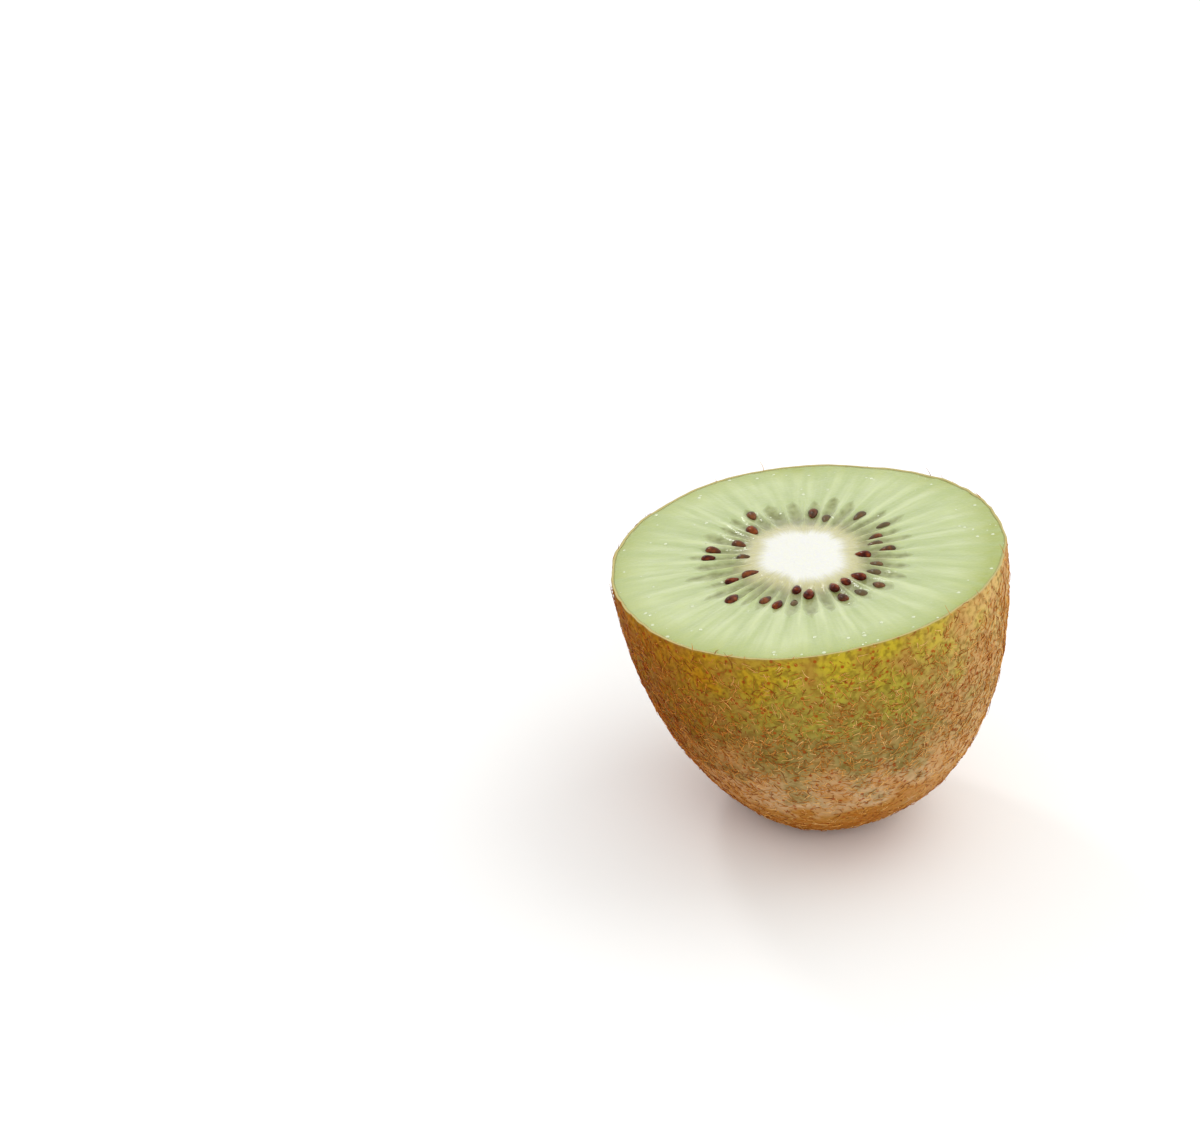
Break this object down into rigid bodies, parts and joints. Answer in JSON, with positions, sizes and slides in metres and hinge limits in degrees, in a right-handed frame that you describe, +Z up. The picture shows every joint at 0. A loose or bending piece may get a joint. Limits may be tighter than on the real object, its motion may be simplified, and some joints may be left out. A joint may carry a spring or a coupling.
{
  "type": "kiwi fruit half",
  "caption": "Half of a kiwi fruit cut across its middle, with hairy brown skin, resting on its rounded end with the juicy green cut face, dark seeds and pale core up.",
  "frame": {"origin": "level with the flat spot that the half rests on, under the middle of its box", "axes": "+Z up, -Y the side seen first, with the cut face up and leaning 9.3 degrees towards -X"},
  "size_m": [0.048, 0.0504, 0.0384],
  "materials": {
    "flesh": "wet, juicy green flesh with a pale core, slightly see-through",
    "skin": "thin dull olive-brown skin with fine specks",
    "seed": "smooth, wet, near black with a reddish tinge",
    "hair": "fine stiff curly hairs",
    "juice": "small clear drops of juice",
    "stalk_scar": "dry, dark and woody"
  },
  "bodies": {
    "root": {"kiwi_half": "flesh"}
  },
  "joints": []
}
